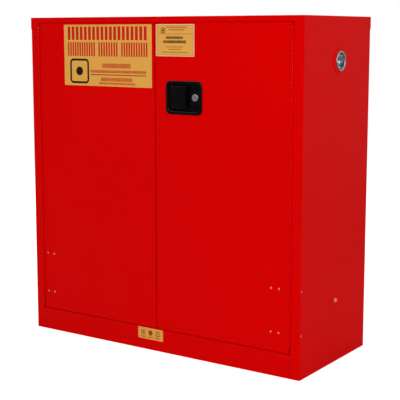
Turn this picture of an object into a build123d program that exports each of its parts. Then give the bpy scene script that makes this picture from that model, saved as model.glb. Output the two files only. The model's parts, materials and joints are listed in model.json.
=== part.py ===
from build123d import *
import math
import os

# Two-door flammable storage cabinet in welded double-wall sheet steel.
# Millimetres. The origin is the centre of the footprint, on the floor. +Z is up, the doors
# face -Y, and +X is on the right of a person who stands in front of the doors.

# ---------------------------------------------------------------- driving dimensions
width = 1092.0
depth = 457.0
height = 1118.0
sheet = 1.2                  # 18 gauge steel
bend = 2.0                   # outside radius of a fold
air_gap = 38.0               # space between the outer and the inner wall

# Doors
door_thickness = 40.0
door_bottom = 79.0
door_top = 1099.0
gap_left = -6.0              # free edge of the left door
gap_right = -2.0             # free edge of the right door
stop_gap = 1.5               # between a closed door and its stop
stop_reach = 21.3            # how far the stop stands into the doorway
inner_skin_recess = 1.0
inner_skin_flange = 8.0
stiffener_margin = 10.0      # sheet beyond the outer rivets, each side
stiffener_overrun = 30.0     # and above and below them
stiffener_flange = 18.0

# Piano hinges
hinge_x = 508.5
knuckle_radius = 2.8
hinge_pin_radius = 1.6
hinge_pin_clearance = 0.1
leaf_thickness = 1.1
leaf_depth = 34.0
knuckle_pitch = 12.7
knuckle_gap = 0.3
knuckle_count = 77
hinge_bottom = 105.0
hinge_stand_off = 0.3        # between a knuckle and the door's face
hinge_cap = 1.0              # thickness of the pin's heads

# Top, header and base
cap_flange = 40.0            # depth of the cap's side and back flanges
cap_front_flange = 18.0      # depth of its front flange between the doorway's corners
header_underside = 1101.0
header_stop_bottom = 1078.0
rail_top = 77.0
rail_end_gap = 0.8           # seam between the rail and each side wall's front flange
sill_top = 95.0
sump_floor = 39.2
base_pan_height = 22.0
rear_flange = 20.0           # of the side walls, at the back
jamb_flange = 22.0           # of the door jambs, on the side walls
back_edge_gap = 0.6
back_edge_radius = 0.5

# Vents, ground screw
vent_y = 10.0
right_vent_z = 978.0
left_vent_z = 160.0
vent_bore = 27.0
vent_sleeve_wall = 2.0
vent_flange_radius = 43.0
vent_flange_thickness = 2.5
vent_flange_edge = 1.8
sleeve_overrun = 2.0         # how far a sleeve reaches inside the inner wall
plug_clearance = 0.4
plug_rim_radius = 32.0
plug_rim_thickness = 3.0
plug_rim_edge = 1.2
plug_cup_radius = 25.0
plug_cup_depth = 16.0        # of the cup's floor, from the side wall inwards
plug_cup_wall = 2.5
plug_mouth_radius = 2.0
plug_lug = (10.0, 9.0, 9.0)  # width, height from the wall and depth of a lug for the key
screen_inset = 3.0
screen_thickness = 1.0
ground_y = 6.0
ground_z = 207.0
ground_shank_radius = 3.0
ground_washer_radius = 7.5
ground_washer_thickness = 1.4
ground_hex_radius = 5.6
ground_head_height = 4.0
ground_shank_length = 20.0
ground_nut_height = 5.0

# Rivets
rivet_heights = (141.0, 281.0)
left_rivet_x = (-488.0, -459.0)
right_rivet_x = (440.0, 468.0)
rivet_head_radius = 3.6
rivet_head_height = 1.3
rivet_shank_radius = 2.0
rivet_tail_radius = 3.0
rivet_tail_height = 1.2
side_rivet_y = -220.5

# Shelf
shelf_y = (-160.0, 172.0)
shelf_top = 560.0
shelf_depth = 28.0
shelf_side_clearance = 2.0
standard_y = (-118.0, 130.0)
standard_width = 22.0
standard_height = 5.0
standard_z = (110.0, 1050.0)
slot_pitch = 25.4
slot_size = (10.0, 4.0)
clip_width = 10.0
clip_reach = 18.0
clip_height = 22.0
shelf_return = 14.0          # of the shelf's lower flanges

# Labels
placard_x = (-392.0, -16.0)
placard_z = (887.0, 1093.0)
small_label_x = (1.0, 152.0)
small_label_z = (991.0, 1093.0)
sill_label_x = (-81.0, 23.0)
sill_label_z = (36.0, 75.0)
placard_thickness = 0.8
placard_corner = 3.0
label_thickness = 0.5
label_corner = 2.0

# Latch
latch_x = 112.0
latch_z = 859.0
bezel_width = 141.0
bezel_height = 108.0
bezel_corner = 18.0
bezel_proud = 4.0
bezel_edge = 2.2
latch_wall = 2.5
dish_width = 121.0           # at the bezel's face
dish_height = 88.0
dish_corner = 12.0
dish_draft = 8.0             # degrees that the dish's walls lean outwards
dish_mouth_edge = 3.0
dish_floor = 15.8            # depth of the dish's floor behind the door's face
housing_clearance = 0.5
paddle_x = (57.0, 118.0)
paddle_z = (823.0, 896.0)
paddle_pin_x = 62.0
paddle_pin_depth = 4.4       # depth of the paddle's pin behind the door's face
paddle_pin_radius = 2.0
pin_eye_radius = 3.8
paddle_sheet = 3.5
paddle_corner = 6.0
paddle_edge = 1.5
paddle_pin_clearance = 0.08
barrel_radius = 4.4
barrel_stop = 8.0            # how far the barrel ends below the paddle's top, for the spring
grip_thickness = 4.0         # of the edge folded back along the paddle's free side
grip_depth = 8.5
tail_x = (-2.0, 4.0)         # of the paddle's tail, from the pin's centre
tail_half_height = 6.0
tail_slot_x = (-5.0, 17.0)
tail_slot_half_height = 9.0
spring_radius = 2.9
spring_wire = 0.5            # radius of the wire
spring_pitch = 1.5
lock_x = 155.6
lock_z = 861.0
lock_boss_width = 32.0
lock_boss_height = 50.0
lock_boss_depth = -1.5       # of the boss's face behind the door's face; minus is in front
ledge_inset = 3.5            # metal left above the ledge
ledge_height = 4.5
ledge_depth = 7.5
lock_face_radius = 11.2
lock_face_thickness = 2.5
lock_body_radius = 9.5
lock_body_length = 28.0
lock_plug_radius = 6.0
lock_plug_clearance = 0.05
lock_plug_tail = 4.0         # of the plug, behind the body
keyway = (1.8, 8.0, 9.0)     # width, height and depth
cam_width = 11.0
cam_thickness = 2.2
cam_reach = (7.0, 16.0)      # centres of the cam's two rounded ends, below the plug

# Bolt work
hub_radius = 26.0
crank_radius = 20.0
hub_half_turn = 20.0         # degrees each side of the middle of the hub's turn
hub_bore = 4.1
hub_stud_radius = 4.0
stud_head_radius = 7.0
stud_head_height = 1.6
crank_pin_radius = 2.5
rod_width = 12.0
rod_thickness = 3.0
rod_slot_clearance = 0.3
rod_inset = 2.0              # between a bolt's tip and the door's edge, when drawn back
bolt_tip = 2.0               # chamfer of a bolt's tip
eye_margin = 4.6
door_slot_margin = 1.2       # all round a bolt where it leaves the door: half of this
strike_slot_margin = 4.0
strike_plate = (54.0, 22.0, 2.0)
keeper_leg = 24.0
keeper_half_height = 30.0
keeper_thickness = 2.0
guide_heights = (1040.0, 120.0)
guide_width = 20.0
guide_foot_length = 14.0
guide_clearance = 0.8
screw_shank_radius = 2.0
screw_head_radius = 3.6
screw_head_height = 2.2
screw_cross = (4.4, 0.9, 1.2)

# ---------------------------------------------------------------- planes and distances
shell_x = width / 2 - sheet                  # outer face of the side walls
shell_y = depth / 2 - sheet                  # front of the cabinet and of the doors
cap_underside = height - sheet
shell_top = cap_underside - 1.0              # the walls stop short of the cap's inside bend
inner_x = shell_x - sheet - air_gap          # outer face of the inner side walls
inner_face_x = inner_x - sheet
inner_top_z = cap_underside - air_gap
inner_back_y = shell_y - 2 * sheet - air_gap + sheet
door_edge_x = hinge_x - knuckle_radius
jamb_x = hinge_x + knuckle_radius
hinge_y = -shell_y - knuckle_radius - hinge_stand_off
stop_y = -shell_y + door_thickness + stop_gap
stop_back_y = stop_y + sheet
door_back_y = -shell_y + door_thickness
inner_skin_back_y = door_back_y - inner_skin_recess

floor_y = -shell_y + dish_floor
plate_front_y = floor_y + latch_wall
plate_thickness = 2.0
plate_back_y = plate_front_y + plate_thickness
hub_front_y = plate_back_y + 0.5
hub_thickness = 3.0
hub_back_y = hub_front_y + hub_thickness
rod_front_y = hub_back_y + 0.6
rod_back_y = rod_front_y + rod_thickness
rod_mid_y = (rod_front_y + rod_back_y) / 2
guide_back_y = rod_back_y + guide_clearance
paddle_pin_y = -shell_y + paddle_pin_depth
boss_face_y = -shell_y + lock_boss_depth

# Crank pins of the hub stand at half a turn's swing to each side of their rod's direction.
half_swing = math.radians(hub_half_turn)
crank_side = crank_radius * math.cos(half_swing)      # from the hub's centre to a rod's line
strike_x = (latch_x + crank_side, latch_x - crank_side)

low = Align.MIN
high = Align.MAX
mid = Align.CENTER


# ---------------------------------------------------------------- shared forms
def bent_sheet(plane, points, length, side=Side.LEFT, thickness=sheet, radius=bend):
    """A folded sheet: the path is one face's line, and the metal lies on one side of it."""
    with BuildPart() as strip:
        with BuildSketch(plane):
            with BuildLine():
                FilletPolyline(*points, radius=radius)
                offset(amount=thickness, side=side)
            make_face()
        extrude(amount=length)
    return strip.part


def block(x_range, y_range, z_range):
    """A box between two values on each axis, kept apart from any builder that is open."""
    size = [b - a for a, b in (x_range, y_range, z_range)]
    solid = Box(*size, align=(low, low, low), mode=Mode.PRIVATE)
    return solid.moved(Location((x_range[0], y_range[0], z_range[0])))


def open_pan(x_range, y_range, z_range, open_face, edge=bend, thickness=sheet):
    """A folded pan with one open side, given as (axis, 0 or -1 for its low or high face)."""
    with BuildPart() as pan:
        add(block(x_range, y_range, z_range))
        axis, index = open_face
        closed_face = pan.faces().sort_by(axis)[-1 - index]
        fillet(closed_face.edges() + pan.edges().filter_by(axis), edge)
        offset(amount=-thickness, openings=pan.faces().sort_by(axis)[index])
    return pan.part


def mirrored(solid):
    """The same piece on the other side of the cabinet."""
    return mirror(solid, about=Plane.YZ, mode=Mode.PRIVATE)


def front_plane(x, z, y=-shell_y):
    """A plane on a face that looks forward, with its normal pointing out of the cabinet."""
    return Plane(origin=(x, y, z), x_dir=(1, 0, 0), z_dir=(0, -1, 0))


def side_plane(y, z, x=shell_x, hand=1):
    """A plane on a side wall, with its normal pointing out of the cabinet."""
    return Plane(origin=(hand * x, y, z), x_dir=(0, hand, 0), z_dir=(hand, 0, 0))


def rivet(plane, grip):
    """A dome-head rivet: its head sits on the plane and its tail closes the grip behind."""
    tail_z = -grip - rivet_tail_height
    with BuildPart() as one:
        with BuildSketch(Plane.XZ):
            with BuildLine():
                TangentArc((0, rivet_head_height), (rivet_head_radius, 0), tangent=(1, 0))
                Polyline((rivet_head_radius, 0), (rivet_shank_radius, 0), (rivet_shank_radius, -grip),
                         (rivet_tail_radius, -grip), (rivet_tail_radius, tail_z), (0, tail_z),
                         (0, rivet_head_height))
            make_face()
        revolve(axis=Axis.Z)
    return one.part.moved(plane.location)


def finish(part, name):
    """Label one piece and write it."""
    part.label = name
    export_step(part, f"parts/{name}.step")


os.makedirs("parts", exist_ok=True)

# ---------------------------------------------------------------- outer shell
side_outline = [(-shell_x + rear_flange, shell_y - sheet), (-shell_x, shell_y - sheet),
                (-shell_x, -shell_y), (-jamb_x, -shell_y)]

with BuildPart() as outer_left_side:
    add(bent_sheet(Plane.XY, side_outline, shell_top))
    with BuildSketch(side_plane(vent_y, left_vent_z, hand=-1)):
        Circle(vent_bore + vent_sleeve_wall)
    extrude(amount=-2 * sheet, mode=Mode.SUBTRACT)
    for z in rivet_heights:
        with BuildSketch(side_plane(side_rivet_y, z, hand=-1)):
            Circle(rivet_shank_radius)
        extrude(amount=-2 * sheet, mode=Mode.SUBTRACT)
finish(outer_left_side.part, "outer_left_side")

with BuildPart() as outer_right_side:
    add(mirrored(bent_sheet(Plane.XY, side_outline, shell_top)))
    with BuildSketch(side_plane(vent_y, right_vent_z)):
        Circle(vent_bore + vent_sleeve_wall)
    extrude(amount=-2 * sheet, mode=Mode.SUBTRACT)
    with BuildSketch(side_plane(ground_y, ground_z)):
        Circle(ground_shank_radius)
    extrude(amount=-2 * sheet, mode=Mode.SUBTRACT)
    for z in rivet_heights:
        with BuildSketch(side_plane(side_rivet_y, z)):
            Circle(rivet_shank_radius)
        extrude(amount=-2 * sheet, mode=Mode.SUBTRACT)
finish(outer_right_side.part, "outer_right_side")

with BuildPart() as outer_back:
    add(block((-shell_x + back_edge_gap, shell_x - back_edge_gap), (shell_y - sheet, shell_y),
              (0, shell_top)))
    fillet(outer_back.edges().filter_by(Axis.Z), back_edge_radius)
finish(outer_back.part, "outer_back")

with BuildPart() as top_cap:
    add(open_pan((-width / 2, width / 2), (-depth / 2, depth / 2), (height - cap_flange, height),
                 (Axis.Z, 0)))
    # Between the two front corners the front flange is shallower.
    add(block((-jamb_x, jamb_x), (-depth / 2 - 1, -shell_y),
              (height - cap_flange - 1, height - cap_front_flange)), mode=Mode.SUBTRACT)
finish(top_cap.part, "top_cap")

with BuildPart() as front_header:
    header_line = [(-shell_y, shell_top), (-shell_y, header_underside),
                   (stop_y, header_underside), (stop_y, header_stop_bottom)]
    add(bent_sheet(Plane.YZ.offset(-jamb_x), header_line, 2 * jamb_x))
    with BuildSketch(Plane.XY.offset(header_underside - 1)):
        with Locations((strike_x[0], rod_mid_y)):
            Rectangle(rod_width + strike_slot_margin, rod_thickness + strike_slot_margin)
    extrude(amount=sheet + 2, mode=Mode.SUBTRACT)
finish(front_header.part, "front_header")

with BuildPart() as base_front_rail:
    rail_line = [(-shell_y, 0), (-shell_y, rail_top), (stop_y, rail_top), (stop_y, sill_top)]
    rail_x = jamb_x - rail_end_gap
    add(bent_sheet(Plane.YZ.offset(-rail_x), rail_line, 2 * rail_x, side=Side.RIGHT))
    with BuildSketch(Plane.XY.offset(rail_top + 1)):
        with Locations((strike_x[1], rod_mid_y)):
            Rectangle(rod_width + strike_slot_margin, rod_thickness + strike_slot_margin)
    extrude(amount=-sheet - 2, mode=Mode.SUBTRACT)
finish(base_front_rail.part, "base_front_rail")

with BuildPart() as base_pan:
    add(open_pan((-shell_x + sheet, shell_x - sheet), (-shell_y + sheet, shell_y - 2 * sheet),
                 (0, base_pan_height), (Axis.Z, -1)))
finish(base_pan.part, "base_pan")

# ---------------------------------------------------------------- jambs and inner wall
jamb_line = [(-shell_x + sheet, -shell_y + jamb_flange), (-shell_x + sheet, -shell_y + sheet),
             (-jamb_x, -shell_y + sheet), (-jamb_x, stop_y), (-jamb_x + stop_reach, stop_y)]

with BuildPart() as left_door_jamb:
    add(bent_sheet(Plane.XY.offset(rail_top), jamb_line, header_underside - rail_top))
    # The stop gives way to the sill below and to the header's stop above.
    for z_range in ((rail_top - 1, sill_top), (header_stop_bottom, header_underside + 1)):
        add(block((-jamb_x, -jamb_x + stop_reach + 1), (stop_y - 4, stop_back_y + 1), z_range),
            mode=Mode.SUBTRACT)
    for z in rivet_heights:
        with BuildSketch(side_plane(side_rivet_y, z, shell_x - sheet, -1)):
            Circle(rivet_shank_radius)
        extrude(amount=-2 * sheet, mode=Mode.SUBTRACT)
finish(left_door_jamb.part, "left_door_jamb")

with BuildPart() as right_door_jamb:
    add(mirrored(left_door_jamb.part))
finish(right_door_jamb.part, "right_door_jamb")


def inner_side(hand, vent_z):
    """An inner side wall with the hole for the vent's sleeve; hand is -1 left, 1 right."""
    with BuildPart() as wall:
        x_range = sorted((hand * inner_x, hand * inner_face_x))
        add(block(x_range, (stop_back_y, inner_back_y), (sump_floor - sheet, inner_top_z - sheet)))
        with BuildSketch(side_plane(vent_y, vent_z, inner_x, hand)):
            Circle(vent_bore + vent_sleeve_wall)
        extrude(amount=-2 * sheet, mode=Mode.SUBTRACT)
    return wall.part


with BuildPart() as inner_left_side:
    add(inner_side(-1, left_vent_z))
finish(inner_left_side.part, "inner_left_side")

with BuildPart() as inner_right_side:
    add(inner_side(1, right_vent_z))
finish(inner_right_side.part, "inner_right_side")

with BuildPart() as inner_back:
    add(block((-inner_x, inner_x), (inner_back_y, inner_back_y + sheet),
              (sump_floor - sheet, inner_top_z - sheet)))
finish(inner_back.part, "inner_back")

with BuildPart() as inner_top:
    add(block((-inner_x, inner_x), (stop_back_y, inner_back_y + sheet),
              (inner_top_z - sheet, inner_top_z)))
finish(inner_top.part, "inner_top")

with BuildPart() as sump_tray:
    add(open_pan((-inner_face_x, inner_face_x), (stop_back_y, inner_back_y),
                 (sump_floor - sheet, sill_top), (Axis.Z, -1)))
finish(sump_tray.part, "sump_tray")


# ---------------------------------------------------------------- hinges
hinge_top = hinge_bottom + knuckle_count * knuckle_pitch


def hinge_leaf(outward, first):
    """The left hinge's leaf. outward is -1 for the jamb's leaf and 1 for the door's.

    The leaf has every second knuckle, from number first on, and is cut clear of the others.
    """
    with BuildPart() as leaf:
        with BuildSketch(Plane.XY.offset(hinge_bottom)):
            with Locations((-hinge_x, hinge_y)):
                Circle(knuckle_radius)
            face_x = -hinge_x + outward * (knuckle_radius - leaf_thickness / 2)
            with Locations((face_x, hinge_y)):
                Rectangle(leaf_thickness, leaf_depth, align=(mid, low))
            with Locations((-hinge_x, hinge_y)):
                Circle(hinge_pin_radius + hinge_pin_clearance, mode=Mode.SUBTRACT)
        extrude(amount=knuckle_count * knuckle_pitch)
        others = range(1 - first, knuckle_count, 2)
        heights = [hinge_bottom + (i + 0.5) * knuckle_pitch for i in others]
        with Locations(*[(-hinge_x, hinge_y, z) for z in heights]):
            Box(2 * knuckle_radius + 2, 2 * knuckle_radius + 1.2, knuckle_pitch + 2 * knuckle_gap,
                mode=Mode.SUBTRACT)
    return leaf.part


with BuildPart() as left_hinge_frame_leaf:
    add(hinge_leaf(-1, 0))
finish(left_hinge_frame_leaf.part, "left_hinge_frame_leaf")

with BuildPart() as left_hinge_door_leaf:
    add(hinge_leaf(1, 1))
finish(left_hinge_door_leaf.part, "left_hinge_door_leaf")

with BuildPart() as right_hinge_frame_leaf:
    add(mirrored(left_hinge_frame_leaf.part))
finish(right_hinge_frame_leaf.part, "right_hinge_frame_leaf")

with BuildPart() as right_hinge_door_leaf:
    add(mirrored(left_hinge_door_leaf.part))
finish(right_hinge_door_leaf.part, "right_hinge_door_leaf")

with BuildPart() as left_hinge_pin:
    with BuildSketch(Plane.XY.offset(hinge_bottom)):
        with Locations((-hinge_x, hinge_y)):
            Circle(hinge_pin_radius)
    extrude(amount=hinge_top - hinge_bottom)
    for z in (hinge_bottom - hinge_cap, hinge_top):
        with BuildSketch(Plane.XY.offset(z)):
            with Locations((-hinge_x, hinge_y)):
                Circle(knuckle_radius - 0.4)
        extrude(amount=hinge_cap)
finish(left_hinge_pin.part, "left_hinge_pin")

with BuildPart() as right_hinge_pin:
    add(mirrored(left_hinge_pin.part))
finish(right_hinge_pin.part, "right_hinge_pin")

# ---------------------------------------------------------------- vents
sleeve_inner_end = inner_face_x - sleeve_overrun
plug_rim_back = shell_x + vent_flange_thickness
plug_rim_face = plug_rim_back + plug_rim_thickness
plug_floor = shell_x - plug_cup_depth


def vent_profile(hand, vent_z, points):
    """A ring or a cup turned about a vent's axis; points are (radius, distance from x = 0)."""
    plane = Plane(origin=(0, vent_y, vent_z), x_dir=(0, 0, 1), z_dir=(0, hand, 0))
    with BuildPart() as turned:
        with BuildSketch(plane):
            with BuildLine():
                Polyline(*points, close=True)
            make_face()
        revolve(axis=Axis((0, vent_y, vent_z), (1, 0, 0)))
    return turned.part


def outermost_circle(part, radius, hand):
    """The circular edge of a radius that stands furthest out from the side wall."""
    circles = part.edges().filter_by(GeomType.CIRCLE)
    same = circles.filter_by(lambda edge: abs(edge.radius - radius) < 0.01)
    return same.sort_by(Axis.X)[-1 if hand > 0 else 0]


def vent_sleeve(hand, vent_z):
    """The sleeve that crosses both walls, with its flange outside and its rolled edge."""
    outer_r = vent_bore + vent_sleeve_wall
    with BuildPart() as sleeve:
        add(vent_profile(hand, vent_z, [
            (vent_bore, sleeve_inner_end), (outer_r, sleeve_inner_end), (outer_r, shell_x),
            (vent_flange_radius, shell_x), (vent_flange_radius, plug_rim_back),
            (vent_bore, plug_rim_back)]))
        fillet(outermost_circle(sleeve, vent_flange_radius, hand), vent_flange_edge)
    return sleeve.part


def vent_plug(hand, vent_z):
    """The screw plug: a cup with a wide rim and two lugs for the key that turns it."""
    plug_r = vent_bore - plug_clearance
    back = plug_floor - plug_cup_wall
    lug_width, lug_height, lug_depth = plug_lug
    with BuildPart() as plug:
        add(vent_profile(hand, vent_z, [
            (0, back), (plug_r, back), (plug_r, plug_rim_back), (plug_rim_radius, plug_rim_back),
            (plug_rim_radius, plug_rim_face), (plug_cup_radius, plug_rim_face),
            (plug_cup_radius, plug_floor), (0, plug_floor)]))
        fillet(outermost_circle(plug, plug_rim_radius, hand), plug_rim_edge)
        fillet(outermost_circle(plug, plug_cup_radius, hand), plug_mouth_radius)
        x_range = sorted((hand * plug_floor, hand * (plug_floor + lug_depth)))
        for end in (-1, 1):
            z_range = sorted((vent_z + end * plug_cup_radius,
                              vent_z + end * (plug_cup_radius - lug_height)))
            add(block(x_range, (vent_y - lug_width / 2, vent_y + lug_width / 2), z_range))
    return plug.part


with BuildPart() as left_vent_sleeve:
    add(vent_sleeve(-1, left_vent_z))
finish(left_vent_sleeve.part, "left_vent_sleeve")

with BuildPart() as right_vent_sleeve:
    add(vent_sleeve(1, right_vent_z))
finish(right_vent_sleeve.part, "right_vent_sleeve")

with BuildPart() as left_vent_plug:
    add(vent_plug(-1, left_vent_z))
finish(left_vent_plug.part, "left_vent_plug")

with BuildPart() as right_vent_plug:
    add(vent_plug(1, right_vent_z))
finish(right_vent_plug.part, "right_vent_plug")

with BuildPart() as flame_arrester_screens:
    for hand, vent_z in ((-1, left_vent_z), (1, right_vent_z)):
        with BuildSketch(side_plane(vent_y, vent_z, sleeve_inner_end + screen_inset, hand)):
            Circle(vent_bore)
        extrude(amount=screen_thickness)
finish(flame_arrester_screens.part, "flame_arrester_screens")

# ---------------------------------------------------------------- ground screw
with BuildPart() as ground_screw:
    with BuildSketch(side_plane(ground_y, ground_z)):
        Circle(ground_washer_radius)
    extrude(amount=ground_washer_thickness)
    with BuildSketch(side_plane(ground_y, ground_z, shell_x + ground_washer_thickness)):
        RegularPolygon(ground_hex_radius, 6)
    extrude(amount=ground_head_height)
    chamfer(ground_screw.faces().sort_by(Axis.X)[-1].edges(), 0.5)
    with BuildSketch(side_plane(ground_y, ground_z)):
        Circle(ground_shank_radius)
    extrude(amount=-ground_shank_length)
finish(ground_screw.part, "ground_screw")

with BuildPart() as ground_nut:
    with BuildSketch(side_plane(ground_y, ground_z, shell_x - sheet)):
        RegularPolygon(ground_hex_radius, 6)
        Circle(ground_shank_radius, mode=Mode.SUBTRACT)
    extrude(amount=-ground_nut_height)
finish(ground_nut.part, "ground_nut")

with BuildPart() as jamb_rivets:
    for hand in (-1, 1):
        for z in rivet_heights:
            add(rivet(side_plane(side_rivet_y, z, hand=hand), 2 * sheet))
finish(jamb_rivets.part, "jamb_rivets")

with BuildPart() as bolt_strikes:
    strike_length, strike_breadth, strike_thickness = strike_plate
    for x, z, rise in ((strike_x[0], header_underside + sheet, strike_thickness),
                       (strike_x[1], rail_top - sheet, -strike_thickness)):
        with BuildSketch(Plane.XY.offset(z)):
            with Locations((x, rod_mid_y)):
                Rectangle(strike_length, strike_breadth)
                Rectangle(rod_width + strike_slot_margin / 2, rod_thickness + strike_slot_margin / 2,
                          mode=Mode.SUBTRACT)
        extrude(amount=rise)
finish(bolt_strikes.part, "bolt_strikes")

# ---------------------------------------------------------------- shelf and its supports
standard_length = standard_z[1] - standard_z[0]


def shelf_standards(hand):
    """Two slotted channels on an inner side wall."""
    with BuildPart() as pair:
        for y in standard_y:
            web_x = -inner_face_x + standard_height
            line = [(-inner_face_x, y - standard_width / 2), (web_x, y - standard_width / 2),
                    (web_x, y + standard_width / 2), (-inner_face_x, y + standard_width / 2)]
            add(bent_sheet(Plane.XY.offset(standard_z[0]), line, standard_length))
        slots = int(standard_length // slot_pitch)
        with BuildSketch(Plane.YZ.offset(-inner_face_x + standard_height - 2 * sheet)):
            for y in standard_y:
                with Locations((y, sum(standard_z) / 2)):
                    with GridLocations(1, slot_pitch, 1, slots):
                        Rectangle(*slot_size)
        extrude(amount=4 * sheet, mode=Mode.SUBTRACT)
    return pair.part if hand < 0 else mirrored(pair.part)


with BuildPart() as left_shelf_standards:
    add(shelf_standards(-1))
finish(left_shelf_standards.part, "left_shelf_standards")

with BuildPart() as right_shelf_standards:
    add(shelf_standards(1))
finish(right_shelf_standards.part, "right_shelf_standards")

standard_face_x = inner_face_x - standard_height
shelf_bottom = shelf_top - shelf_depth

with BuildPart() as shelf_clips:
    for y in standard_y:
        with BuildSketch(Plane.XZ.offset(-y - clip_width / 2)):
            with BuildLine():
                Polyline((-standard_face_x, shelf_bottom - clip_height),
                         (-standard_face_x + 2, shelf_bottom - clip_height),
                         (-standard_face_x + clip_reach, shelf_bottom - 2),
                         (-standard_face_x + clip_reach, shelf_bottom),
                         (-standard_face_x, shelf_bottom), close=True)
            make_face()
        extrude(amount=clip_width)
    mirror(about=Plane.YZ)
finish(shelf_clips.part, "shelf_clips")

with BuildPart() as shelf:
    half = standard_face_x - shelf_side_clearance
    add(open_pan((-half, half), shelf_y, (shelf_bottom, shelf_top), (Axis.Z, 0)))
    for y_range in ((shelf_y[0] + sheet, shelf_y[0] + shelf_return),
                    (shelf_y[1] - shelf_return, shelf_y[1] - sheet)):
        add(block((-half + sheet, half - sheet), y_range, (shelf_bottom, shelf_bottom + sheet)))
finish(shelf.part, "shelf")


# ---------------------------------------------------------------- doors
def outer_skin(x_range):
    """A door's outer pan: its face, with the four flanges turned in."""
    return open_pan(x_range, (-shell_y, door_back_y), (door_bottom, door_top), (Axis.Y, -1))


def inner_skin(x_range):
    """A door's inner pan, nested between the flanges of the outer one."""
    inside = (x_range[0] + sheet, x_range[1] - sheet)
    return open_pan(inside, (inner_skin_back_y - inner_skin_flange, inner_skin_back_y),
                    (door_bottom + sheet, door_top - sheet), (Axis.Y, 0))


def rivet_shanks(x_pair, face_y):
    """The four rivets' shanks, to be cut out of the sheet behind a face."""
    with BuildPart() as shanks:
        for x in x_pair:
            for z in rivet_heights:
                with BuildSketch(front_plane(x, z, face_y)):
                    Circle(rivet_shank_radius)
                extrude(amount=-2 * sheet)
    return shanks.part


def door_stiffener(x_pair):
    """A short channel behind the outer skin, held by the rivets."""
    x0 = x_pair[0] - stiffener_margin
    x1 = x_pair[1] + stiffener_margin
    front = -shell_y + sheet
    back = front + stiffener_flange
    length = rivet_heights[1] - rivet_heights[0] + 2 * stiffener_overrun
    with BuildPart() as channel:
        add(bent_sheet(Plane.XY.offset(rivet_heights[0] - stiffener_overrun),
                       [(x0, back), (x0, front), (x1, front), (x1, back)], length))
        add(rivet_shanks(x_pair, front), mode=Mode.SUBTRACT)
    return channel.part


def door_rivets(x_pair):
    """The four rivets of a door."""
    with BuildPart() as four:
        for x in x_pair:
            for z in rivet_heights:
                add(rivet(front_plane(x, z), 2 * sheet))
    return four.part


left_door_x = (-door_edge_x, gap_left)
right_door_x = (gap_right, door_edge_x)
centre_bolt_z = latch_z + (crank_side + crank_radius) / 2

with BuildPart() as left_door_outer_skin:
    add(outer_skin(left_door_x))
    add(rivet_shanks(left_rivet_x, -shell_y), mode=Mode.SUBTRACT)
    with BuildSketch(Plane.YZ.offset(gap_left + 1)):
        with Locations((rod_mid_y, centre_bolt_z)):
            Rectangle(rod_thickness + 3, rod_width + 3)
    extrude(amount=-sheet - 2, mode=Mode.SUBTRACT)
finish(left_door_outer_skin.part, "left_door_outer_skin")

with BuildPart() as left_door_inner_skin:
    add(inner_skin(left_door_x))
finish(left_door_inner_skin.part, "left_door_inner_skin")

with BuildPart() as left_door_stiffener:
    add(door_stiffener(left_rivet_x))
finish(left_door_stiffener.part, "left_door_stiffener")

with BuildPart() as left_door_rivets:
    add(door_rivets(left_rivet_x))
finish(left_door_rivets.part, "left_door_rivets")

with BuildPart() as bolt_keeper:
    keeper_x = gap_left - sheet
    keeper_line = [(keeper_x - keeper_leg, -shell_y + sheet), (keeper_x, -shell_y + sheet),
                   (keeper_x, inner_skin_back_y - inner_skin_flange - 0.5)]
    add(bent_sheet(Plane.XY.offset(centre_bolt_z - keeper_half_height), keeper_line,
                   2 * keeper_half_height, thickness=keeper_thickness, radius=keeper_thickness + 1))
    with BuildSketch(Plane.YZ.offset(gap_left)):
        with Locations((rod_mid_y, centre_bolt_z)):
            Rectangle(rod_thickness + 2, rod_width + 2)
    extrude(amount=-sheet - keeper_thickness - 1, mode=Mode.SUBTRACT)
finish(bolt_keeper.part, "bolt_keeper")

with BuildPart() as warning_placard:
    add(block(placard_x, (-shell_y - placard_thickness, -shell_y), placard_z))
    fillet(warning_placard.edges().filter_by(Axis.Y), placard_corner)
finish(warning_placard.part, "warning_placard")

with BuildPart() as specification_label:
    add(block(small_label_x, (-shell_y - label_thickness, -shell_y), small_label_z))
    fillet(specification_label.edges().filter_by(Axis.Y), label_corner)
finish(specification_label.part, "specification_label")

with BuildPart() as sill_label:
    add(block(sill_label_x, (-shell_y - label_thickness, -shell_y), sill_label_z))
    fillet(sill_label.edges().filter_by(Axis.Y), label_corner)
finish(sill_label.part, "sill_label")

# ---------------------------------------------------------------- right door
body_width = dish_width + 2 * latch_wall
body_height = dish_height + 2 * latch_wall
latch_face = front_plane(latch_x, latch_z)

with BuildPart() as right_door_outer_skin:
    add(outer_skin(right_door_x))
    add(rivet_shanks(right_rivet_x, -shell_y), mode=Mode.SUBTRACT)
    with BuildSketch(latch_face):
        RectangleRounded(body_width + 2 * housing_clearance, body_height + 2 * housing_clearance,
                         dish_corner + latch_wall)
    extrude(amount=-2 * sheet, mode=Mode.SUBTRACT)
    # Ways out for the two rods and the centre bolt.
    with BuildSketch(Plane.XY.offset(door_top + 1)):
        with Locations((strike_x[0], rod_mid_y)):
            Rectangle(rod_width + door_slot_margin, rod_thickness + door_slot_margin)
    extrude(amount=-sheet - 2, mode=Mode.SUBTRACT)
    with BuildSketch(Plane.XY.offset(door_bottom - 1)):
        with Locations((strike_x[1], rod_mid_y)):
            Rectangle(rod_width + door_slot_margin, rod_thickness + door_slot_margin)
    extrude(amount=sheet + 2, mode=Mode.SUBTRACT)
    with BuildSketch(Plane.YZ.offset(gap_right - 1)):
        with Locations((rod_mid_y, centre_bolt_z)):
            Rectangle(rod_thickness + door_slot_margin, rod_width + door_slot_margin)
    extrude(amount=sheet + 2, mode=Mode.SUBTRACT)
finish(right_door_outer_skin.part, "right_door_outer_skin")

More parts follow.
